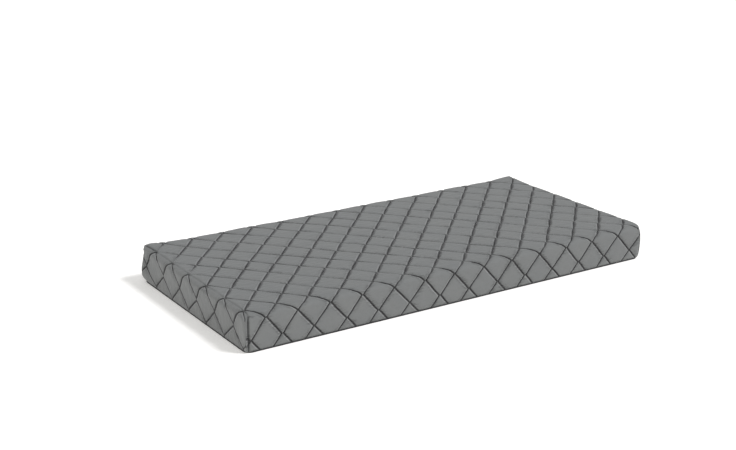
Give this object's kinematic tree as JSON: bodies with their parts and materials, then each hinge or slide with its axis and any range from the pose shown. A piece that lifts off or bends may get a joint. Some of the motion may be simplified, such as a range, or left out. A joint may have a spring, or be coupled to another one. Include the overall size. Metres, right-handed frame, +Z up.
{
  "type": "memory foam mattress",
  "caption": "Single memory foam mattress in a grey diamond-quilted zip-off cover with a piped lower edge and a non-slip underside.",
  "frame": {"origin": "centre of the underside, on the surface the mattress lies on", "axes": "+X along the length, +Y across the width towards the zipped long side, +Z up"},
  "size_m": [1.9, 0.9, 0.15],
  "materials": {
    "quilted_fabric": "matte",
    "wadding": "matte",
    "backing": "matte",
    "thread": "matte",
    "binding_tape": "matte",
    "piping": "matte",
    "cord": "matte",
    "underside_fabric": "matte",
    "lining_felt": "matte",
    "sock_knit": "matte",
    "memory_foam": "matte",
    "transition_foam": "matte",
    "support_foam": "matte",
    "zip_tape": "matte",
    "zip_coil": "satin",
    "zip_metal": "satin",
    "label": "matte"
  },
  "bodies": {
    "mattress": {"cover_face_fabric": "quilted_fabric", "cover_wadding": "wadding", "cover_backing": "backing", "quilting_thread_top": "thread", "quilting_thread_front": "thread", "quilting_thread_back": "thread", "quilting_thread_left": "thread", "quilting_thread_right": "thread", "corner_binding_front_left": "binding_tape", "corner_binding_front_right": "binding_tape", "corner_binding_back_left": "binding_tape", "corner_binding_back_right": "binding_tape", "bottom_panel": "underside_fabric", "bottom_lining": "lining_felt", "piping_cord": "cord", "piping_sleeve": "piping", "inner_sock": "sock_knit", "inner_sock_base": "sock_knit", "support_foam_base": "support_foam", "transition_foam": "transition_foam", "memory_foam_layer": "memory_foam", "zip_tape_upper": "zip_tape", "zip_tape_lower": "zip_tape", "zip_coil_upper": "zip_coil", "zip_coil_lower": "zip_coil", "zip_top_stops": "zip_metal", "zip_bottom_stop": "zip_metal", "zip_end_tab_left": "piping", "zip_end_tab_right": "piping", "care_label": "label"},
    "zip_slider": {"zip_slider_body": "zip_metal"},
    "zip_pull": {"zip_pull_tab": "zip_metal"}
  },
  "joints": [
    {"name": "zip_slide", "type": "slide", "parent": "mattress", "child": "zip_slider", "axis": [1, 0, 0], "range_m": [0, 1.63]},
    {"name": "pull_tab_swing", "type": "hinge", "parent": "zip_slider", "child": "zip_pull", "pos_m": [-0.815, 0.4479, 0.022], "axis": [0, 0, 1], "range_deg": [0, 180]}
  ]
}
